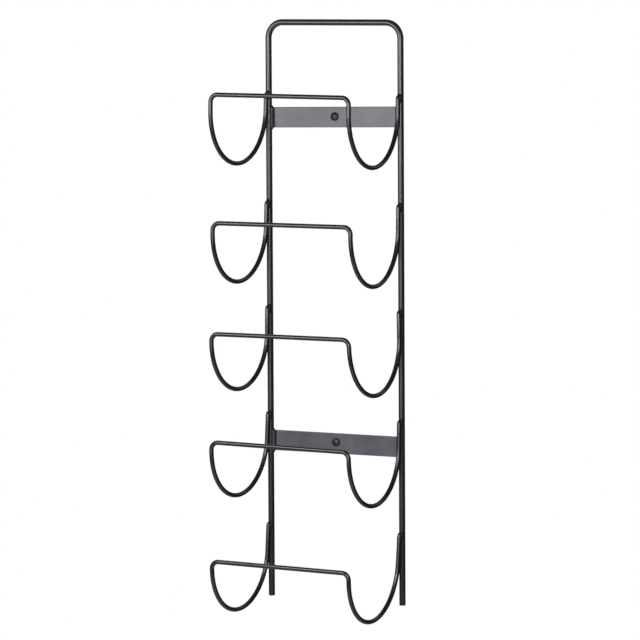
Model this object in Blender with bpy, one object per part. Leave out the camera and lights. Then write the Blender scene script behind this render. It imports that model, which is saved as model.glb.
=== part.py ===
"""A wall-hung wine rack for five bottles.

One round rod is bent into a tall upside-down U. Five bent wires are welded to the front of its two
uprights, and each one makes a cradle: two bows that carry a lying bottle and a bar across the front
that keeps it in. Two flat straps join the uprights at the back, and a screw through each strap holds
the rack to the wall.

Lengths are in metres. The wall is the plane y = 0, the rack stands out from it towards -Y, and the
origin is the centre of the upper screw hole on the wall.
"""

import math

import bmesh
import bpy
from mathutils import Matrix, Vector

# clearance between pieces that touch
gap = 0.0003

# back frame
rod_diameter = 0.0065
rod_spacing = 0.156
corner_bend = 0.0165
top_to_upper_strap = 0.0971
top_to_first_tip = 0.0730
foot_below_last_tip = 0.0774

# cradles, from the top one down
wire_diameter = 0.0047
tip_pitches = (0.1124, 0.1095, 0.1124, 0.1165)
back_legs = (0.0168, 0.0258, 0.0276, 0.0271, 0.0301)
front_rises = (0.0725, 0.0635, 0.0613, 0.0606, 0.0570)
bow_radius = 0.0553
bar_bend = 0.0075
front_splay = 0.0024

# how far each cradle is out of true: slope of the front bar as rise over run, its shift to the right,
# and how far the bows hang to the right per metre below the line from the tip to the bar
slopes = (-0.010, -0.002, 0.000, -0.014, -0.013)
front_shifts = (0.0015, 0.0029, 0.0004, -0.0003, -0.0008)
left_bow_swings = (-0.019, -0.030, -0.014, -0.042, -0.051)
right_bow_swings = (-0.008, -0.010, 0.020, -0.012, -0.058)

# straps, the upper one welded a little out of level, the lower one with its hole above its middle
strap_height = 0.0213
strap_thickness = 0.0025
strap_edge = 0.0004
screw_spacing = 0.3384
strap_slopes = (0.016, 0.000)
hole_rises = (0.0006, 0.0014)

# screws
shank_diameter = 0.0040
shank_length = 0.0350
screw_point = 0.0060
head_diameter = 0.0088
head_height = 0.0026
head_rim = 0.0006
recess_span = 0.0044
recess_width = 0.0011
recess_depth = 0.0013
hole_clearance = 0.0006

# weld beads
tip_weld_length = 0.0128
tip_weld_width = 0.0062
tip_weld_depth = 0.0072
tip_weld_rise = 0.0035
tip_weld_set_back = 0.0006
strap_weld_radius = 0.0030
strap_weld_overrun = 0.0018

# places that follow from the sizes above
upright_x = rod_spacing / 2
rod_y = -rod_diameter / 2
wire_y = -(rod_diameter + gap + wire_diameter / 2)
top_z = top_to_upper_strap
tip_heights = [top_z - top_to_first_tip - sum(tip_pitches[:tier]) for tier in range(len(front_rises))]
foot_z = tip_heights[-1] - foot_below_last_tip


def clear_scene():
    for thing in list(bpy.data.objects):
        bpy.data.objects.remove(thing, do_unlink=True)


def make_material(name, colour, roughness, metallic):
    material = bpy.data.materials.new(name)
    material.use_nodes = True
    shader = material.node_tree.nodes["Principled BSDF"]
    shader.inputs["Base Color"].default_value = (*colour, 1.0)
    shader.inputs["Roughness"].default_value = roughness
    shader.inputs["Metallic"].default_value = metallic
    return material


def add_object(name, data, material, place=(0, 0, 0), turn=(0, 0, 0)):
    thing = bpy.data.objects.new(name, data)
    thing.location = place
    thing.rotation_euler = turn
    bpy.context.collection.objects.link(thing)
    data.materials.clear()
    data.materials.append(material)
    return thing


def arc(centre, start, end, angle, steps):
    """Points from centre + start, turning towards the direction of end, without the first one."""
    turns = [angle * step / steps for step in range(1, steps + 1)]
    return [centre + start * math.cos(turn) + end * math.sin(turn) for turn in turns]


def bent_round(name, points, diameter, sides):
    """A round bar swept along points, with flat cut ends."""
    curve = bpy.data.curves.new(name, "CURVE")
    curve.dimensions = "3D"
    curve.bevel_depth = diameter / 2
    curve.bevel_resolution = (sides - 4) // 2
    curve.use_fill_caps = True
    spline = curve.splines.new("POLY")
    spline.points.add(len(points) - 1)
    for spot, point in zip(spline.points, points):
        spot.co = (*point, 1.0)
    return curve


def frame_points():
    across, up = Vector((1, 0, 0)), Vector((0, 0, 1))
    points = [Vector((-upright_x, 0, foot_z)), Vector((-upright_x, 0, top_z - corner_bend))]
    left_centre = Vector((-upright_x + corner_bend, 0, top_z - corner_bend))
    right_centre = Vector((upright_x - corner_bend, 0, top_z - corner_bend))
    points += arc(left_centre, -across * corner_bend, up * corner_bend, math.pi / 2, 8)
    points.append(Vector((upright_x - corner_bend, 0, top_z)))
    points += arc(right_centre, up * corner_bend, across * corner_bend, math.pi / 2, 8)
    points.append(Vector((upright_x, 0, foot_z)))
    return points


def half_cradle(side, back_leg, front_rise, front_shift, bow_swing):
    """One bow from its tip on the upright to the start of the front bar.

    The tip is at height 0, on y = 0 and x = side * upright_x. The back leg runs straight down from it
    along the upright, the bow is half a circle, and its front leg is what the front rise leaves. Where
    the rise is too short for a straight leg, the bow ends sooner, leaning forward, and the bar bend
    starts from that lean.
    """
    up = Vector((0, 0, 1))
    forward = Vector((side * front_splay + front_shift, -2 * bow_radius, 0)).normalized()
    inward = Vector((-side, 0, 0))
    tip = Vector((side * upright_x, 0, 0))
    centre = tip + forward * bow_radius - up * back_leg

    straight = max(front_rise - bow_radius - bar_bend, 0)
    lean = 0.0
    if straight == 0:
        reach = math.hypot(bow_radius, bar_bend)
        lean = math.atan2(bar_bend, bow_radius) + math.asin((bow_radius - front_rise) / reach)

    points = [tip, centre - forward * bow_radius]
    points += arc(centre, -forward * bow_radius, -up * bow_radius, math.pi - lean, 22)
    rising = forward * math.sin(lean) + up * math.cos(lean)
    if straight > 0:
        points.append(points[-1] + rising * straight)
    bend_centre = points[-1] + inward * bar_bend
    points += arc(bend_centre, -inward * bar_bend, rising * bar_bend, math.pi / 2, 6)

    bar = points[-1]
    for point in points:
        below = bar.z * point.y / bar.y - point.z
        point.x += bow_swing * max(below, 0)
    return points


def cradle_points(back_leg, front_rise, slope, front_shift, left_swing, right_swing):
    """Both bows and the bar between them. The legs keep their lengths when the bar is out of level."""
    left = half_cradle(-1, back_leg, front_rise, front_shift, left_swing)
    right = half_cradle(1, back_leg, front_rise, front_shift, right_swing)
    return [point + Vector((0, 0, slope * point.x)) for point in left + right[::-1]]


def turned(name, profile, steps):
    """A closed solid of revolution about Z. The profile runs from a point on the axis to another."""
    mesh = bpy.data.meshes.new(name)
    work = bmesh.new()
    rings = []
    for radius, height in profile:
        if radius == 0:
            rings.append([work.verts.new((0, 0, height))])
        else:
            turns = [2 * math.pi * step / steps for step in range(steps)]
            spots = [(radius * math.cos(turn), radius * math.sin(turn), height) for turn in turns]
            rings.append([work.verts.new(spot) for spot in spots])
    for lower, upper in zip(rings, rings[1:]):
        for step in range(steps):
            following = (step + 1) % steps
            corners = [lower[step % len(lower)], lower[following % len(lower)]]
            corners += [upper[following % len(upper)], upper[step % len(upper)]]
            work.faces.new(list(dict.fromkeys(corners)))
    bmesh.ops.recalc_face_normals(work, faces=work.faces)
    work.to_mesh(mesh)
    work.free()
    return mesh


def block(name, size, place=(0, 0, 0), edge=0.0):
    mesh = bpy.data.meshes.new(name)
    work = bmesh.new()
    bmesh.ops.create_cube(work, size=1, matrix=Matrix.Translation(place) @ Matrix.Diagonal((*size, 1)))
    if edge > 0:
        bmesh.ops.bevel(work, geom=work.edges[:], offset=edge, segments=1, affect="EDGES")
    work.to_mesh(mesh)
    work.free()
    return mesh


def cylinder(name, radius, length, place=(0, 0, 0), axis="Z", sides=24):
    mesh = bpy.data.meshes.new(name)
    work = bmesh.new()
    turn = {"Z": Matrix(), "Y": Matrix.Rotation(math.pi / 2, 4, "X")}[axis]
    matrix = Matrix.Translation(place) @ turn
    bmesh.ops.create_cone(
        work, cap_ends=True, segments=sides, radius1=radius, radius2=radius, depth=length, matrix=matrix
    )
    work.to_mesh(mesh)
    work.free()
    return mesh


def ellipsoid(name, size, place):
    mesh = bpy.data.meshes.new(name)
    work = bmesh.new()
    matrix = Matrix.Translation(place) @ Matrix.Diagonal((*size, 1))
    bmesh.ops.create_uvsphere(work, u_segments=16, v_segments=10, radius=0.5, matrix=matrix)
    work.to_mesh(mesh)
    work.free()
    return mesh


def carve(mesh, cutter_meshes):
    """What is left of a mesh when the cutters are taken out of it."""
    body = bpy.data.objects.new("body", mesh)
    bpy.context.collection.objects.link(body)
    cutters = []
    for cutter_mesh in cutter_meshes:
        cutter = bpy.data.objects.new("cutter", cutter_mesh)
        bpy.context.collection.objects.link(cutter)
        cut = body.modifiers.new("cut", "BOOLEAN")
        cut.operation = "DIFFERENCE"
        cut.solver = "EXACT"
        cut.object = cutter
        cutters.append(cutter)
    depsgraph = bpy.context.evaluated_depsgraph_get()
    carved = bpy.data.meshes.new_from_object(body.evaluated_get(depsgraph))
    for thing in [body, *cutters]:
        bpy.data.objects.remove(thing, do_unlink=True)
    return carved


def smooth(mesh, angle=math.radians(40)):
    mesh.shade_smooth()
    mesh.set_sharp_from_angle(angle=angle)


def make_strap_mesh(hole_rise):
    """A flat bar between the uprights with a screw hole; the hole's axis is on x = z = 0, the back on y = 0."""
    length = rod_spacing - rod_diameter - 2 * gap
    middle = (0, -strap_thickness / 2, -hole_rise)
    bar = block("strap", (length, strap_thickness, strap_height), middle, strap_edge)
    hole = cylinder("hole", shank_diameter / 2 + hole_clearance, 4 * strap_thickness, axis="Y")
    return carve(bar, [hole])


def make_screw_mesh():
    """A domed head with a cross recess on a plain shank, pointing down; the head's seat is at height 0."""
    head_radius = head_diameter / 2
    dome = [
        (head_radius * math.cos(turn), head_rim + (head_height - head_rim) * math.sin(turn))
        for turn in [math.pi / 2 * step / 6 for step in range(6)]
    ]
    profile = [(0, -shank_length), (shank_diameter / 2, -shank_length + screw_point)]
    profile += [(shank_diameter / 2, 0), (head_radius, 0)]
    profile += dome + [(0, head_height)]
    solid = turned("screw", profile, 24)
    place = (0, 0, head_height)
    along = block("recess_along", (recess_span, recess_width, 2 * recess_depth), place)
    across = block("recess_across", (recess_width, recess_span, 2 * recess_depth), place)
    mesh = carve(solid, [along, across])
    smooth(mesh)
    return mesh


def make_tip_weld_mesh():
    """The bead that joins a wire tip to the upright; the tip is at the origin."""
    bead_place = (
        0,
        (tip_weld_depth - wire_diameter) / 2 + tip_weld_set_back,
        tip_weld_rise - tip_weld_length / 2,
    )
    bead = ellipsoid("tip_weld", (tip_weld_width, tip_weld_depth, tip_weld_length), bead_place)
    rod = cylinder("rod", rod_diameter / 2 + gap, 2 * tip_weld_length, (0, rod_y - wire_y, 0))
    wire = cylinder(
        "wire", wire_diameter / 2 + gap, tip_weld_length, (0, 0, gap - tip_weld_length / 2), sides=20
    )
    mesh = carve(bead, [rod, wire])
    smooth(mesh)
    return mesh


def make_strap_weld_mesh():
    """The fillet between the right upright and the strap's end; the origin is on the upright's axis."""
    length = strap_height + 2 * strap_weld_overrun
    full = strap_weld_radius
    profile = [(0, -length / 2), (full * 0.55, -length / 2), (full, -length / 2 + full * 0.6)]
    profile += [(full, length / 2 - full * 0.6), (full * 0.55, length / 2), (0, length / 2)]
    bead = turned("strap_weld", profile, 16)
    bead.transform(Matrix.Translation((-rod_diameter / 2 - full * 0.3, -full * 0.1, 0)))
    rod = cylinder("rod", rod_diameter / 2 + gap, 2 * length)
    strap_room = (rod_spacing, strap_thickness + 2 * gap, strap_height + 2 * gap)
    strap_place = (-rod_diameter / 2 - rod_spacing / 2, rod_diameter / 2 - strap_thickness / 2, 0)
    strap = block("strap", strap_room, strap_place)
    mesh = carve(bead, [rod, strap])
    smooth(mesh)
    return mesh


def build():
    clear_scene()
    rod_black = make_material("frame_black", (0.030, 0.030, 0.033), 0.42, 0.0)
    wire_black = make_material("wire_black", (0.028, 0.028, 0.031), 0.40, 0.0)
    strap_black = make_material("strap_black", (0.045, 0.044, 0.050), 0.45, 0.0)
    weld_black = make_material("weld_black", (0.020, 0.020, 0.022), 0.50, 0.0)
    screw_black = make_material("screw_black", (0.015, 0.015, 0.016), 0.40, 0.6)

    rack = bpy.data.objects.new("wine_rack", None)
    bpy.context.collection.objects.link(rack)
    pieces = []

    frame = bent_round("back_frame", frame_points(), rod_diameter, 16)
    pieces.append(add_object("back_frame", frame, rod_black, (0, rod_y, 0)))

    tip_weld = make_tip_weld_mesh()
    swings = zip(left_bow_swings, right_bow_swings)
    tiers = zip(tip_heights, back_legs, front_rises, slopes, front_shifts, swings)
    for tier, (tip_height, back_leg, front_rise, slope, front_shift, swing) in enumerate(tiers, start=1):
        points = cradle_points(back_leg, front_rise, slope, front_shift, *swing)
        wire = bent_round(f"cradle_{tier}", points, wire_diameter, 10)
        pieces.append(add_object(f"cradle_{tier}", wire, wire_black, (0, wire_y, tip_height)))
        for side, x in (("left", -upright_x), ("right", upright_x)):
            name = f"cradle_{tier}_{side}_weld"
            place = (x, wire_y, tip_height + slope * x)
            pieces.append(add_object(name, tip_weld, weld_black, place))

    strap_weld = make_strap_weld_mesh()
    screw = make_screw_mesh()
    screw_y = -strap_thickness - gap
    levels = zip(("upper", "lower"), (0, -screw_spacing), strap_slopes, hole_rises)
    for level, height, strap_slope, hole_rise in levels:
        strap = make_strap_mesh(hole_rise)
        out_of_level = (0, -math.atan(strap_slope), 0)
        pieces.append(add_object(f"{level}_strap", strap, strap_black, (0, 0, height), out_of_level))
        place, facing_out = (0, screw_y, height), (math.pi / 2, 0, 0)
        pieces.append(add_object(f"{level}_screw", screw, screw_black, place, facing_out))
        middle = height - hole_rise
        right = (upright_x, rod_y, middle + strap_slope * upright_x)
        left = (-upright_x, rod_y, middle - strap_slope * upright_x)
        pieces.append(add_object(f"{level}_strap_right_weld", strap_weld, weld_black, right))
        left_weld = strap_weld.copy()
        left_weld.transform(Matrix.Diagonal((-1, 1, 1, 1)))
        left_weld.flip_normals()
        pieces.append(add_object(f"{level}_strap_left_weld", left_weld, weld_black, left))

    for piece in pieces:
        piece.parent = rack


build()
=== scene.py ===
import math

import bpy
from mathutils import Matrix, Vector


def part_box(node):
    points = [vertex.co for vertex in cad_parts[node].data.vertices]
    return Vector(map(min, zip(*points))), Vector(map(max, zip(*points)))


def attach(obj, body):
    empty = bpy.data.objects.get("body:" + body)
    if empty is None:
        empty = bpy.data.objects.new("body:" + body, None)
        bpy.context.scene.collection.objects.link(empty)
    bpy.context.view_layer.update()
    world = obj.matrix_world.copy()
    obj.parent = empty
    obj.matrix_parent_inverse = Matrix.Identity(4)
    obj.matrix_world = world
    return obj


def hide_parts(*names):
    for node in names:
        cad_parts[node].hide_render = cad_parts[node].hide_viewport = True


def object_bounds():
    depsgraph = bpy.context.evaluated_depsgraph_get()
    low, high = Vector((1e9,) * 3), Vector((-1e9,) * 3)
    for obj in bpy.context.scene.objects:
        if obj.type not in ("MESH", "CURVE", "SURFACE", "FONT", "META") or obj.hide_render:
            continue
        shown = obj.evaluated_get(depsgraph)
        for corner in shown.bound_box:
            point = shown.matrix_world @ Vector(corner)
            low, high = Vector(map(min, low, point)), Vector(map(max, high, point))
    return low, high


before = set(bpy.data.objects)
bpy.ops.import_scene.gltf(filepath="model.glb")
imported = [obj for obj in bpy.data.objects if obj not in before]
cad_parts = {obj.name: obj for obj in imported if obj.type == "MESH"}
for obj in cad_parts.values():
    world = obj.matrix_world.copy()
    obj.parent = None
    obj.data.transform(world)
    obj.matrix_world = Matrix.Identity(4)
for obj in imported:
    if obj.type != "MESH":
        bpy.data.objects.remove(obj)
cadLow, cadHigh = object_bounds()

across = Vector((1, 0, 0))
out = Vector((0, -1, 0))                                 # from the wall to the room
up = Vector((0, 0, 1))
mm = 0.001


# Selecting, and the few steps that every piece goes through

def clearSelection():
    if bpy.context.mode != "OBJECT":
        bpy.ops.object.mode_set(mode="OBJECT")
    bpy.ops.object.select_all(action="DESELECT")


def makeActive(piece):
    clearSelection()
    piece.select_set(True)
    bpy.context.view_layer.objects.active = piece


def nameNew(name):
    piece = bpy.context.object
    piece.name = name
    piece.data.name = name
    bpy.ops.object.transform_apply(location=True, rotation=True, scale=True)
    return piece


def selectFaces(piece, wanted):
    bpy.ops.object.mode_set(mode="EDIT")
    bpy.ops.mesh.select_mode(type="FACE")
    bpy.ops.mesh.select_all(action="DESELECT")
    bpy.ops.object.mode_set(mode="OBJECT")
    for face in piece.data.polygons:
        face.select = wanted(face)
    bpy.ops.object.mode_set(mode="EDIT")


def selectEdges(piece, wanted):
    bpy.ops.object.mode_set(mode="EDIT")
    bpy.ops.mesh.select_mode(type="EDGE")
    bpy.ops.mesh.select_all(action="DESELECT")
    bpy.ops.object.mode_set(mode="OBJECT")
    corners = piece.data.vertices
    for edge in piece.data.edges:
        edge.select = wanted(corners[edge.vertices[0]].co, corners[edge.vertices[1]].co)
    bpy.ops.object.mode_set(mode="EDIT")


def applyModifier(piece, kind, **values):
    makeActive(piece)
    modifier = piece.modifiers.new(kind.lower(), kind)
    for key, value in values.items():
        setattr(modifier, key, value)
    bpy.ops.object.modifier_apply(modifier=modifier.name)


def combine(piece, other, operation):
    applyModifier(piece, "BOOLEAN", operation=operation, solver="EXACT", object=other)
    discard(other)


def copyTo(piece, name, place):
    makeActive(piece)
    bpy.ops.object.duplicate(linked=False)               # each copy gets its own mesh
    bpy.context.object.location = place
    return nameNew(name)


def discard(*pieces):
    for piece in pieces:
        bpy.data.objects.remove(piece, do_unlink=True)


def handOver(piece, material, nodeName, sharpAngle=40):
    makeActive(piece)
    bpy.ops.object.mode_set(mode="EDIT")
    bpy.ops.mesh.select_all(action="SELECT")
    bpy.ops.mesh.normals_make_consistent(inside=False)
    bpy.ops.object.mode_set(mode="OBJECT")
    bpy.ops.object.shade_smooth_by_angle(angle=math.radians(sharpAngle))
    piece.data.materials.clear()
    piece.data.materials.append(material)
    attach(piece, "root")
    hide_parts(nodeName)


# A round bar that is fed forward and bent, as on a wire bender: the last ring of points stays selected

def startBar(name, start, heading, radius, sides):
    clearSelection()
    turn = up.rotation_difference(heading).to_euler()
    bpy.ops.mesh.primitive_circle_add(vertices=sides, radius=radius, location=start, rotation=turn)
    piece = nameNew(name)
    bpy.ops.object.mode_set(mode="EDIT")
    bpy.ops.mesh.select_mode(type="EDGE")
    bpy.ops.mesh.select_all(action="SELECT")
    return {"piece": piece, "spot": start.copy(), "heading": heading.normalized(), "radius": radius}


def feed(bar, length, radius=None):
    step = bar["heading"] * length
    bpy.ops.mesh.extrude_region_move(TRANSFORM_OT_translate={"value": step})
    bar["spot"] += step
    if radius is not None:
        size = radius / bar["radius"]
        bpy.ops.transform.resize(value=(size, size, size), center_override=bar["spot"])
        bar["radius"] = radius


def bend(bar, towards, bendRadius, angle, steps):
    centre = bar["spot"] + towards * bendRadius
    axis = towards.cross(bar["heading"])
    bpy.ops.mesh.spin(steps=steps, angle=angle, center=centre, axis=axis)
    ahead = bar["heading"]
    bar["spot"] = centre - towards * (bendRadius * math.cos(angle)) + ahead * (bendRadius * math.sin(angle))
    bar["heading"] = ahead * math.cos(angle) + towards * math.sin(angle)


def closeEnds(bar, bevel=0.0):
    piece = bar["piece"]
    bpy.ops.mesh.select_all(action="SELECT")
    bpy.ops.mesh.fill_holes(sides=0)
    if bevel > 0:
        selectFaces(piece, lambda face: len(face.vertices) > 4)
        bpy.ops.mesh.region_to_loop()
        bpy.ops.mesh.bevel(offset=bevel, segments=3)
    bpy.ops.object.mode_set(mode="OBJECT")
    return piece


# Finishes: a satin black powder coat, with its fine orange peel, and a blackened screw

coats = {
    # Every part wears one and the same powder coat. The straps' lighter levels are a painted sheen, and the
    # wires' and welds' darker levels are painted shade.
    "rodBlack": {"dark": 0.013, "light": 0.019, "roughness": (0.295, 0.315), "peel": 0.4},
    "wireShadeBlack": {"dark": 0.008, "light": 0.012, "roughness": (0.255, 0.275), "peel": 0.4},
    "strapSheenBlack": {"dark": 0.032, "light": 0.062, "roughness": (0.385, 0.425), "peel": 1.0},
    "weldShadeBlack": {"dark": 0.005, "light": 0.010, "roughness": (0.46, 0.58), "peel": 1.6},
}
coatTint = (1.0, 0.965, 1.08)                            # the black leans to violet
coatNoise = {
    "clouds": {"Scale": 38.0, "Detail": 4.0, "Roughness": 0.6},      # where the powder lies thicker
    "grains": {"Scale": 420.0, "Detail": 3.0, "Roughness": 0.55},
    "peel": {"Scale": 1500.0, "Detail": 2.0, "Roughness": 0.5},      # orange peel, 0.7 mm across
}
coatBump = {"fine": (0.30, 0.006 * mm), "broad": (0.25, 0.020 * mm)}     # strength and depth
screwSteel = {"dark": 0.008, "light": 0.032, "roughness": (0.30, 0.46), "metallic": 0.35}
screwNoise = {"Scale": 900.0, "Detail": 5.0, "Roughness": 0.65}      # rubbed on its high spots
screwBump = (0.3, 0.020 * mm)


def addNode(tree, kind, **values):
    node = tree.nodes.new(kind)
    for key, value in values.items():
        if key in node.inputs:
            node.inputs[key].default_value = value
        else:
            setattr(node, key, value)
    return node


def tinted(level):
    return (level * coatTint[0], level * coatTint[1], level * coatTint[2], 1.0)


def startMaterial(name):
    material = bpy.data.materials.new(name)
    material.use_nodes = True
    tree = material.node_tree
    place = addNode(tree, "ShaderNodeTexCoord").outputs["Object"]
    return material, tree, tree.nodes["Principled BSDF"], place


def shadeFrom(tree, source, dark, light, low, high):
    shade = addNode(tree, "ShaderNodeValToRGB")
    shade.color_ramp.elements[0].position, shade.color_ramp.elements[1].position = low, high
    shade.color_ramp.elements[0].color, shade.color_ramp.elements[1].color = tinted(dark), tinted(light)
    tree.links.new(source.outputs["Fac"], shade.inputs["Fac"])
    return shade


def glossFrom(tree, source, roughness, low, high):
    gloss = addNode(tree, "ShaderNodeMapRange")
    gloss.inputs["From Min"].default_value, gloss.inputs["From Max"].default_value = low, high
    gloss.inputs["To Min"].default_value, gloss.inputs["To Max"].default_value = roughness
    tree.links.new(source.outputs["Fac"], gloss.inputs["Value"])
    return gloss


def addBump(tree, source, strength, distance):
    bump = addNode(tree, "ShaderNodeBump", Strength=strength, Distance=distance)
    tree.links.new(source.outputs["Fac"], bump.inputs["Height"])
    return bump


def finishShader(tree, shader, shade, gloss, bump):
    tree.links.new(shade.outputs["Color"], shader.inputs["Base Color"])
    tree.links.new(gloss.outputs["Result"], shader.inputs["Roughness"])
    tree.links.new(bump.outputs["Normal"], shader.inputs["Normal"])


def powderCoat(name, coat):
    material, tree, shader, place = startMaterial(name)
    noises = {kind: addNode(tree, "ShaderNodeTexNoise", **values) for kind, values in coatNoise.items()}
    for noise in noises.values():
        tree.links.new(place, noise.inputs["Vector"])
    shade = shadeFrom(tree, noises["clouds"], coat["dark"], coat["light"], 0.30, 0.72)
    gloss = glossFrom(tree, noises["grains"], coat["roughness"], 0.3, 0.7)
    (fineStrength, fineDepth), (broadStrength, broadDepth) = coatBump["fine"], coatBump["broad"]
    fine = addBump(tree, noises["peel"], fineStrength, fineDepth * coat["peel"])
    broad = addBump(tree, noises["grains"], broadStrength, broadDepth * coat["peel"])
    tree.links.new(fine.outputs["Normal"], broad.inputs["Normal"])
    finishShader(tree, shader, shade, gloss, broad)
    return material


def screwBlack():
    material, tree, shader, place = startMaterial("screwBlack")
    rub = addNode(tree, "ShaderNodeTexNoise", **screwNoise)
    tree.links.new(place, rub.inputs["Vector"])
    shade = shadeFrom(tree, rub, screwSteel["dark"], screwSteel["light"], 0.42, 0.78)
    gloss = glossFrom(tree, rub, screwSteel["roughness"], 0.0, 1.0)
    finishShader(tree, shader, shade, gloss, addBump(tree, rub, *screwBump))
    shader.inputs["Metallic"].default_value = screwSteel["metallic"]
    return material


# Back frame: one rod, bent over twice at the top

frameRod = {"cornerBend": 16.5 * mm, "sides": 40, "bendSteps": 20, "endBevel": 0.5 * mm}


def makeBackFrame(material):
    low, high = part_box("back_frame")
    radius = (high.y - low.y) / 2
    side, middle = high.x - radius, (high.y + low.y) / 2
    cornerBend = frameRod["cornerBend"]
    rise = high.z - radius - cornerBend - low.z
    bar = startBar("frameRod", Vector((-side, middle, low.z)), up, radius, frameRod["sides"])
    feed(bar, rise)
    bend(bar, across, cornerBend, math.pi / 2, frameRod["bendSteps"])
    feed(bar, 2 * (side - cornerBend))
    bend(bar, -up, cornerBend, math.pi / 2, frameRod["bendSteps"])
    feed(bar, rise)
    piece = closeEnds(bar, frameRod["endBevel"])
    handOver(piece, material, "back_frame")
    print("back frame bent, ends at", [round(value, 4) for value in bar["spot"]])
    return {"side": side, "middle": middle, "radius": radius}


# Cradles: one wire each, from the left tip round two bows and the front bar to the right tip

cradleWire = {
    "backLegs": (16.8 * mm, 25.8 * mm, 27.6 * mm, 27.1 * mm, 30.1 * mm),
    "frontRises": (72.5 * mm, 63.5 * mm, 61.3 * mm, 60.6 * mm, 57.0 * mm),
    "frontShifts": (1.5 * mm, 2.9 * mm, 0.4 * mm, -0.3 * mm, -0.8 * mm),
    "leftSwings": (-0.019, -0.030, -0.014, -0.042, -0.051),  # sideways hang of the bows, per depth
    "rightSwings": (-0.008, -0.010, 0.020, -0.012, -0.058),
    "bowRadius": 55.3 * mm,
    "barBend": 7.5 * mm,
    "frontSplay": 2.4 * mm,
    "radius": 2.35 * mm,
    "sides": 32,
    "bowSteps": 56,
    "barSteps": 14,
    "endBevel": 0.2 * mm,
    "fusedTip": ((0.0, 0.45), (1.0 * mm, 0.72), (2.2 * mm, 0.91), (3.8 * mm, 1.0)),  # depth, radius
}


def tipHeight(tier, sideName):
    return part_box(f"cradle_{tier}_{sideName}_weld")[1].z - tipBead["rise"]


def feedTo(bar, spot):
    bpy.ops.mesh.extrude_region_move(TRANSFORM_OT_translate={"value": spot - bar["spot"]})
    bar["spot"] = spot.copy()


def feedTip(bar, depths):
    # The tip is melted away in front and stays straight where it lies on the upright
    full = cradleWire["radius"]
    for (before, _), (after, share) in zip(depths, depths[1:]):
        backwards = -out * (bar["radius"] - full * share)
        feed(bar, abs(after - before))
        bpy.ops.transform.translate(value=backwards)
        bar["spot"] += backwards
        size = full * share / bar["radius"]
        bpy.ops.transform.resize(value=(size, size, size), center_override=bar["spot"])
        bar["radius"] = full * share


def makeCradle(tier, rod, material):
    wire = cradleWire
    leftTip, rightTip = tipHeight(tier, "left"), tipHeight(tier, "right")
    backLeg, frontRise = wire["backLegs"][tier - 1], wire["frontRises"][tier - 1]
    shift = wire["frontShifts"][tier - 1]
    leftSwing, rightSwing = wire["leftSwings"][tier - 1], wire["rightSwings"][tier - 1]
    bowRadius, barBend = wire["bowRadius"], wire["barBend"]
    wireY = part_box(f"cradle_{tier}")[1].y - wire["radius"]
    leftOut = (out * 2 * bowRadius + across * (shift - wire["frontSplay"])).normalized()
    rightOut = (out * 2 * bowRadius + across * (shift + wire["frontSplay"])).normalized()
    straight = max(frontRise - bowRadius - barBend, 0)
    lean = 0.0                                           # only a short rise ends the bow before its leg
    if straight == 0:
        lean = math.atan2(barBend, bowRadius)
        lean += math.asin((bowRadius - frontRise) / math.hypot(bowRadius, barBend))
    reach = bowRadius * (1 + math.cos(lean)) + barBend * math.sin(lean)

    tipMiddle = (leftTip + rightTip) / 2
    tipDepths, tipRadius = wire["fusedTip"], wire["radius"] * wire["fusedTip"][0][1]
    start = Vector((-rod["side"], wireY, tipMiddle)) - out * (wire["radius"] - tipRadius)
    bar = startBar(f"cradle{tier}", start, -up, tipRadius, wire["sides"])
    feedTip(bar, tipDepths)
    feed(bar, backLeg - tipDepths[-1][0])
    bend(bar, leftOut, bowRadius, math.pi - lean, wire["bowSteps"])
    if straight > 0:
        feed(bar, straight)
    bend(bar, across, barBend, math.pi / 2, wire["barSteps"])
    barHeight = bar["spot"].z
    farEnd = Vector((rod["side"], wireY, barHeight)) + rightOut * reach - across * barBend
    feedTo(bar, farEnd)
    bend(bar, -(rightOut * math.sin(lean) + up * math.cos(lean)), barBend, math.pi / 2, wire["barSteps"])
    if straight > 0:
        feed(bar, straight)
    inwards = -(rightOut * math.cos(lean) - up * math.sin(lean))
    bend(bar, inwards, bowRadius, math.pi - lean, wire["bowSteps"])
    feed(bar, backLeg - tipDepths[-1][0])
    feedTip(bar, tipDepths[::-1])
    piece = closeEnds(bar, wire["endBevel"])

    slope = (rightTip - leftTip) / (2 * rod["side"])
    fall = (tipMiddle - barHeight) / (wireY - farEnd.y)
    for point in piece.data.vertices:                    # welded a little out of true
        below = tipMiddle - fall * (wireY - point.co.y) - point.co.z
        point.co.x += (leftSwing if point.co.x < 0 else rightSwing) * max(below, 0)
        point.co.z += slope * point.co.x
    handOver(piece, material, f"cradle_{tier}")
    print("cradle", tier, "bent, last tip at", [round(value, 4) for value in bar["spot"]])


# Weld beads: laid in rings like a real bead, roughened, then fitted over the metal they join

tipBead = {
    "rise": 3.5 * mm,
    "length": 12.3 * mm,
    "width": 6.2 * mm,
    "depth": 6.6 * mm,
    "centreY": 3.6 * mm,                                 # behind the middle of the wire
    "leanBack": 0.22,
    "topShare": 0.30,                                    # share of the radius left at each end
    "footShare": 0.25,
    "taper": 5.0 * mm,
    "footTaper": 3.5 * mm,
    "rings": 9,
    "ripple": 0.16 * mm,
    "lump": 0.35 * mm,
    "lumpSize": 2.2 * mm,
}
endBead = {
    "length": 25.6 * mm,
    "radius": 2.4 * mm,
    "endShare": 0.15,
    "taper": 2.8 * mm,
    "towardsStrap": 0.4 * mm,
    "towardsRoom": 0.1 * mm,
    "rings": 20,
    "ripple": 0.16 * mm,
    "lump": 0.25 * mm,
    "lumpSize": 2.6 * mm,
}
beadSides = 40
beadSharpAngle = 60
beadSink = 0.1 * mm                                      # how far a bead reaches into the metal it joins
cutterLength = 80 * mm


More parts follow.
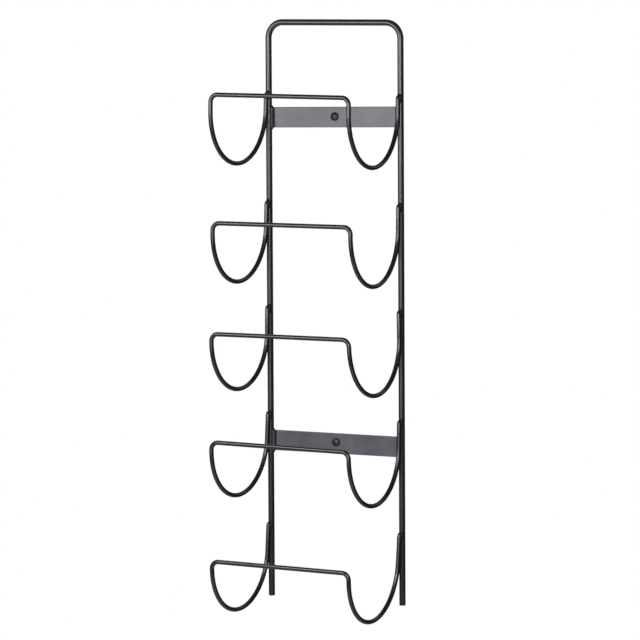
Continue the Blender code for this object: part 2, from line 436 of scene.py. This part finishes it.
def layBead(name, bead, radiusAt):
    bar = startBar(name, Vector((0, 0, 0)), up, radiusAt(0.0), beadSides)
    stepsPerRing = 4
    steps = bead["rings"] * stepsPerRing
    for step in range(1, steps + 1):
        along = step / steps
        ring = abs(math.sin(math.pi * step / stepsPerRing)) - 0.5
        swell = bead["ripple"] * ring * math.sin(math.pi * along)
        feed(bar, bead["length"] / steps, radiusAt(along * bead["length"]) + swell)
    return closeEnds(bar)


def roughen(piece, bead):
    clouds = bpy.data.textures.new(piece.name, "CLOUDS")
    clouds.noise_scale = bead["lumpSize"]
    makeActive(piece)
    bump = piece.modifiers.new("lumps", "DISPLACE")
    bump.texture, bump.texture_coords = clouds, "GLOBAL"  # so that no two beads have the same lumps
    bump.strength, bump.mid_level = bead["lump"], 0.5
    bpy.ops.object.modifier_apply(modifier=bump.name)


def addRod(name, spot, radius, depth, axis=up, sides=64):
    clearSelection()
    turn = up.rotation_difference(axis).to_euler()
    bpy.ops.mesh.primitive_cylinder_add(vertices=sides, radius=radius, depth=depth,
                                        location=spot, rotation=turn)
    return nameNew(name)


def layTipBead():
    bead = tipBead

    def radiusAt(height):
        above = min((bead["length"] - height) / bead["taper"], 1)
        below = min(height / bead["footTaper"], 1)
        atTop = bead["topShare"] + (1 - bead["topShare"]) * above
        atFoot = bead["footShare"] + (1 - bead["footShare"]) * math.sqrt(below)
        return bead["width"] / 2 * min(atTop, atFoot)

    piece = layBead("tipBead", bead, radiusAt)
    makeActive(piece)
    bpy.ops.object.mode_set(mode="EDIT")
    bpy.ops.mesh.select_all(action="SELECT")
    bpy.ops.transform.resize(value=(1, bead["depth"] / bead["width"], 1), center_override=(0, 0, 0))
    bpy.ops.object.mode_set(mode="OBJECT")
    for point in piece.data.vertices:                    # the top leans back onto the upright
        point.co.y += bead["leanBack"] * (point.co.z - bead["length"] / 2)
    return piece


def fitTipBead(laid, tier, sideName, rod, material):
    side = -1 if sideName == "left" else 1
    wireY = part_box(f"cradle_{tier}")[1].y - cradleWire["radius"]
    tip = Vector((side * rod["side"], wireY, tipHeight(tier, sideName)))
    foot = tip + up * (tipBead["rise"] - tipBead["length"]) - out * tipBead["centreY"]
    piece = copyTo(laid, f"tipBead{tier}{sideName.title()}", foot)
    roughen(piece, tipBead)
    upright = Vector((tip.x, rod["middle"], tip.z))
    wireMiddle = tip - up * (cutterLength / 2 + cradleWire["fusedTip"][-1][0] + beadSink)
    for spot, radius in ((upright, rod["radius"]), (wireMiddle, cradleWire["radius"])):
        combine(piece, addRod("cutter", spot, radius - beadSink, cutterLength), "DIFFERENCE")
    handOver(piece, material, f"cradle_{tier}_{sideName}_weld", beadSharpAngle)


def layEndBead():
    bead = endBead

    def radiusAt(height):
        inside = min(min(height, bead["length"] - height) / bead["taper"], 1)
        return bead["radius"] * (bead["endShare"] + (1 - bead["endShare"]) * inside)

    return layBead("endBead", bead, radiusAt)


def fitEndBead(laid, level, sideName, rod, material):
    bead = endBead
    side = -1 if sideName == "left" else 1
    low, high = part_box(f"{level}_strap_{sideName}_weld")
    middle = Vector((side * (rod["side"] - rod["radius"] - bead["towardsStrap"]),
                     rod["middle"] - bead["towardsRoom"], (low.z + high.z) / 2))
    piece = copyTo(laid, f"endBead{level.title()}{sideName.title()}", middle - up * bead["length"] / 2)
    roughen(piece, bead)
    upright = Vector((side * rod["side"], rod["middle"], middle.z))
    combine(piece, addRod("cutter", upright, rod["radius"] - beadSink, cutterLength), "DIFFERENCE")
    clearSelection()
    bpy.ops.mesh.primitive_cube_add(size=1, location=(0, -strapBar["thickness"] / 2, middle.z))
    bpy.context.object.scale = (2 * (rod["side"] - rod["radius"]), strapBar["thickness"] - 2 * beadSink,
                                strapBar["height"] - 2 * beadSink)
    combine(piece, nameNew("cutter"), "DIFFERENCE")
    handOver(piece, material, f"{level}_strap_{sideName}_weld", beadSharpAngle)


# Straps: flat bar with rounded edges and a screw hole, between the uprights

strapBar = {
    "height": 21.3 * mm,
    "thickness": 2.5 * mm,
    "gap": 0.3 * mm,
    "edge": 0.65 * mm,
    "holeRadius": 2.6 * mm,
    "holeRim": 0.25 * mm,
    "rimSearch": 1.05,                                   # the rim edges lie within this share of the radius
    "rimDepth": 0.1 * mm,
    "upperSlope": 0.016,
    "lowerSlope": 0.0,
    "upperHoleRise": 0.6 * mm,
    "lowerHoleRise": 1.4 * mm,
}


def holeHeight(level):
    low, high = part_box(f"{level}_screw")
    return (low.z + high.z) / 2


def makeStrap(level, rod, material):
    bar = strapBar
    length = 2 * (rod["side"] - rod["radius"] - bar["gap"])
    hole = holeHeight(level)
    middle = (0, -bar["thickness"] / 2, hole - bar[f"{level}HoleRise"])
    clearSelection()
    bpy.ops.mesh.primitive_cube_add(size=1, location=middle)
    bpy.context.object.scale = (length, bar["thickness"], bar["height"])
    piece = nameNew(f"{level}Strap")
    bpy.ops.object.mode_set(mode="EDIT")
    bpy.ops.mesh.select_all(action="SELECT")
    bpy.ops.mesh.bevel(offset=bar["edge"], segments=4)
    bpy.ops.object.mode_set(mode="OBJECT")
    drill = Vector((0, -bar["thickness"] / 2, hole))
    combine(piece, addRod("drill", drill, bar["holeRadius"], 4 * bar["thickness"], out, 72), "DIFFERENCE")
    makeActive(piece)

    def onRim(one, two):
        reach = bar["holeRadius"] * bar["rimSearch"]
        near = all(math.hypot(spot.x, spot.z - hole) < reach for spot in (one, two))
        return near and abs(one.y - two.y) < bar["rimDepth"]

    selectEdges(piece, onRim)
    bpy.ops.mesh.bevel(offset=bar["holeRim"], segments=3)
    bpy.ops.mesh.select_all(action="SELECT")
    tilt = math.atan(bar[f"{level}Slope"])
    bpy.ops.transform.rotate(value=tilt, orient_axis="Y", center_override=(0, 0, hole))
    bpy.ops.object.mode_set(mode="OBJECT")
    handOver(piece, material, f"{level}_strap")
    # Weighted normals keep the flat faces flat beside the rounded edges
    applyModifier(piece, "WEIGHTED_NORMAL", keep_sharp=True)
    print(level, "strap cut,", len(piece.data.polygons), "faces")


# Screws: a domed head with a cross recess, a plain neck, a threaded shank and a point

wallScrew = {
    "headRadius": 4.4 * mm,
    "rim": 0.6 * mm,
    "dome": 2.0 * mm,
    "domeSteps": 10,
    "neckRadius": 2.0 * mm,
    "coreRadius": 1.45 * mm,
    "neck": 8.0 * mm,
    "length": 35.0 * mm,
    "point": 6.0 * mm,
    "pitch": 1.7 * mm,
    "turns": 12,
    "turnSteps": 36,
    "ridge": 1.0 * mm,
    "ridgeSink": 0.15 * mm,
    "recessSpan": 4.4 * mm,
    "recessWidth": 1.1 * mm,
    "recessDepth": 1.3 * mm,
    "recessBevel": 0.18 * mm,
    "tipRadius": 0.1 * mm,
    "shoulder": 0.6 * mm,
    "rimBreak": 0.15 * mm,
    "sides": 64,
    "sharpAngle": 35,
    "gap": 0.3 * mm,
}


def makeThread(screw):
    # A ridge of three corners, wound round the core
    clearSelection()
    bpy.ops.mesh.primitive_circle_add(vertices=3, radius=screw["ridge"] / 2, location=(0, 0, 0))
    piece = nameNew("thread")
    inner = screw["coreRadius"] - screw["ridgeSink"]
    corners = ((inner, -screw["ridge"] / 2), (screw["neckRadius"], 0), (inner, screw["ridge"] / 2))
    for point, (away, height) in zip(piece.data.vertices, corners):
        point.co = (away, 0, height)
    applyModifier(piece, "SCREW", axis="Z", angle=math.tau, screw_offset=screw["pitch"],
                  iterations=screw["turns"], steps=screw["turnSteps"], render_steps=screw["turnSteps"],
                  use_merge_vertices=False)
    bpy.ops.object.mode_set(mode="EDIT")
    bpy.ops.mesh.select_all(action="SELECT")
    bpy.ops.mesh.fill_holes(sides=0)
    bpy.ops.mesh.select_all(action="SELECT")
    bpy.ops.mesh.normals_make_consistent(inside=False)
    bpy.ops.object.mode_set(mode="OBJECT")
    piece.rotation_euler = up.rotation_difference(out).to_euler()
    piece.location = -out * (screw["length"] - screw["point"])
    makeActive(piece)
    bpy.ops.object.transform_apply(location=True, rotation=True, scale=True)
    return piece


def turnScrew():
    # Its seat is at the origin, and its point in the wall
    screw = wallScrew
    bar = startBar("screw", -out * screw["length"], out, screw["tipRadius"], screw["sides"])
    feed(bar, screw["point"], screw["coreRadius"])
    feed(bar, screw["length"] - screw["point"] - screw["neck"])
    feed(bar, screw["shoulder"], screw["neckRadius"])
    feed(bar, screw["neck"] - screw["shoulder"])
    feed(bar, 0, screw["headRadius"] - screw["rimBreak"])
    feed(bar, screw["rimBreak"], screw["headRadius"])
    feed(bar, screw["rim"] - screw["rimBreak"])
    for step in range(1, screw["domeSteps"]):
        before, after = ((math.pi / 2) * count / screw["domeSteps"] for count in (step - 1, step))
        rise = screw["dome"] * (math.sin(after) - math.sin(before))
        feed(bar, rise, screw["headRadius"] * math.cos(after))
    piece = closeEnds(bar)
    combine(piece, makeThread(screw), "UNION")

    top = out * (screw["rim"] + screw["dome"])
    slot = (screw["recessSpan"], 2 * screw["recessDepth"], screw["recessWidth"])
    for size in (slot, slot[::-1]):
        clearSelection()
        bpy.ops.mesh.primitive_cube_add(size=1, location=top)
        bpy.context.object.scale = size
        cutter = nameNew("recess")
        bpy.ops.object.mode_set(mode="EDIT")
        bpy.ops.mesh.select_all(action="SELECT")
        bpy.ops.mesh.bevel(offset=screw["recessBevel"], segments=2)
        bpy.ops.object.mode_set(mode="OBJECT")
        combine(piece, cutter, "DIFFERENCE")
    print("screw turned,", len(piece.data.polygons), "faces")
    return piece


def fitScrew(turned, level, material):
    seat = Vector((0, -strapBar["thickness"] - wallScrew["gap"], holeHeight(level)))
    piece = copyTo(turned, f"{level}Screw", seat)
    handOver(piece, material, f"{level}_screw", wallScrew["sharpAngle"])


# Camera, lights and floor

lens = {
    "azimuth": 29.5,
    "elevation": 4.757,
    "roll": -0.30,
    "distance": 4.5,
    "focal": 244.885,
    "sensorWidth": 36.0,
    "clip": (0.1, 100.0),
}
lensAim = Vector((-0.0066, -0.0238, -0.2096))


def directionAt(place):
    azimuth, elevation = math.radians(place["azimuth"]), math.radians(place["elevation"])
    level = math.cos(elevation)
    return Vector((math.sin(azimuth) * level, -math.cos(azimuth) * level, math.sin(elevation)))


def addCamera():
    azimuth = math.radians(lens["azimuth"])
    back = directionAt(lens)
    right = Vector((math.cos(azimuth), math.sin(azimuth), 0))
    right = Matrix.Rotation(math.radians(lens["roll"]), 3, back) @ right
    top = back.cross(right)
    data = bpy.data.cameras.new("camera")
    data.lens, data.sensor_width = lens["focal"], lens["sensorWidth"]
    data.clip_start, data.clip_end = lens["clip"]
    camera = bpy.data.objects.new("camera", data)
    turn = Matrix((right, top, back)).transposed().to_4x4()
    camera.matrix_world = Matrix.Translation(lensAim + back * lens["distance"]) @ turn
    bpy.context.collection.objects.link(camera)
    bpy.context.scene.camera = camera


softboxes = {
    "keyLeft": {"azimuth": -22, "elevation": 9, "distance": 1.25, "size": (0.80, 0.50), "power": 13},
    "keyFront": {"azimuth": 27, "elevation": 7, "distance": 1.5, "size": (0.50, 0.50), "power": 13.5},
    "lowFront": {"azimuth": 5, "elevation": -16, "distance": 1.4, "size": (1.10, 0.45), "power": 6},
    "fillRight": {"azimuth": 62, "elevation": 25, "distance": 1.8, "size": (0.60, 0.60), "power": 1.0},
    "backLeft": {"azimuth": 215, "elevation": 30, "distance": 2.2, "size": (1.20, 1.20), "power": 5},
    "backRight": {"azimuth": 150, "elevation": 20, "distance": 2.2, "size": (1.20, 1.20), "power": 3},
}
lampTint = (1.0, 0.972, 1.045)
lampAim = Vector((0, 0, -0.12))


def addLights():
    for name, box in softboxes.items():
        towards = directionAt(box)
        data = bpy.data.lights.new(name, "AREA")
        data.shape = "RECTANGLE"
        data.size, data.size_y = box["size"]
        data.energy, data.color = box["power"], lampTint
        light = bpy.data.objects.new(name, data)
        light.location = lampAim + towards * box["distance"]
        light.rotation_euler = towards.to_track_quat("Z", "Y").to_euler()
        bpy.context.collection.objects.link(light)


roundFloor = {"drop": 0.6, "radius": 1.1, "shade": 0.85, "roughness": 0.7}   # well below, as the rack hangs
ambient = 0.03


def addSurroundings():
    world = bpy.data.worlds.new("studio")
    bpy.context.scene.world = world
    world.use_nodes = True
    tree = world.node_tree
    seen = tree.nodes["Background"]
    seen.inputs["Color"].default_value = (1, 1, 1, 1)
    around = addNode(tree, "ShaderNodeBackground", Color=(1, 1, 1, 1), Strength=ambient)
    path = addNode(tree, "ShaderNodeLightPath")
    mix = addNode(tree, "ShaderNodeMixShader")
    tree.links.new(path.outputs["Is Camera Ray"], mix.inputs["Fac"])
    tree.links.new(around.outputs["Background"], mix.inputs[1])
    tree.links.new(seen.outputs["Background"], mix.inputs[2])
    tree.links.new(mix.outputs["Shader"], tree.nodes["World Output"].inputs["Surface"])
    bpy.context.scene.view_settings.view_transform = "Standard"

    clearSelection()
    middle = (0, 0, cadLow.z - roundFloor["drop"])
    bpy.ops.mesh.primitive_circle_add(vertices=96, radius=roundFloor["radius"], fill_type="NGON",
                                      location=middle)
    floor = nameNew("floor")
    pale = bpy.data.materials.new("paleFloor")
    pale.use_nodes = True
    shader = pale.node_tree.nodes["Principled BSDF"]
    shader.inputs["Base Color"].default_value = (*[roundFloor["shade"]] * 3, 1)
    shader.inputs["Roughness"].default_value = roundFloor["roughness"]
    floor.data.materials.append(pale)


rodBlack, wireShadeBlack, strapSheenBlack, weldShadeBlack = (powderCoat(name, coat) for name, coat in coats.items())
blackened = screwBlack()
tiers, levels, sideNames = range(1, 6), ("upper", "lower"), ("left", "right")

rod = makeBackFrame(rodBlack)
for tier in tiers:
    makeCradle(tier, rod, wireShadeBlack)
# The beads and the screw are made once, then copied
laidTipBead, laidEndBead, turnedScrew = layTipBead(), layEndBead(), turnScrew()
for tier in tiers:
    for sideName in sideNames:
        fitTipBead(laidTipBead, tier, sideName, rod, weldShadeBlack)
print("tip beads laid")
for level in levels:
    makeStrap(level, rod, strapSheenBlack)
    for sideName in sideNames:
        fitEndBead(laidEndBead, level, sideName, rod, weldShadeBlack)
    fitScrew(turnedScrew, level, blackened)
print("strap beads laid, screws fitted")
discard(laidTipBead, laidEndBead, turnedScrew)

# The solids get the same finishes as the pieces above
coatOf = {"frame": rodBlack, "strap": strapSheenBlack, "weld": weldShadeBlack, "screw": blackened}
for name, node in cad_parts.items():
    node.data.materials.clear()
    node.data.materials.append(coatOf.get(name.split("_")[-1], wireShadeBlack))
addCamera()
addLights()
addSurroundings()
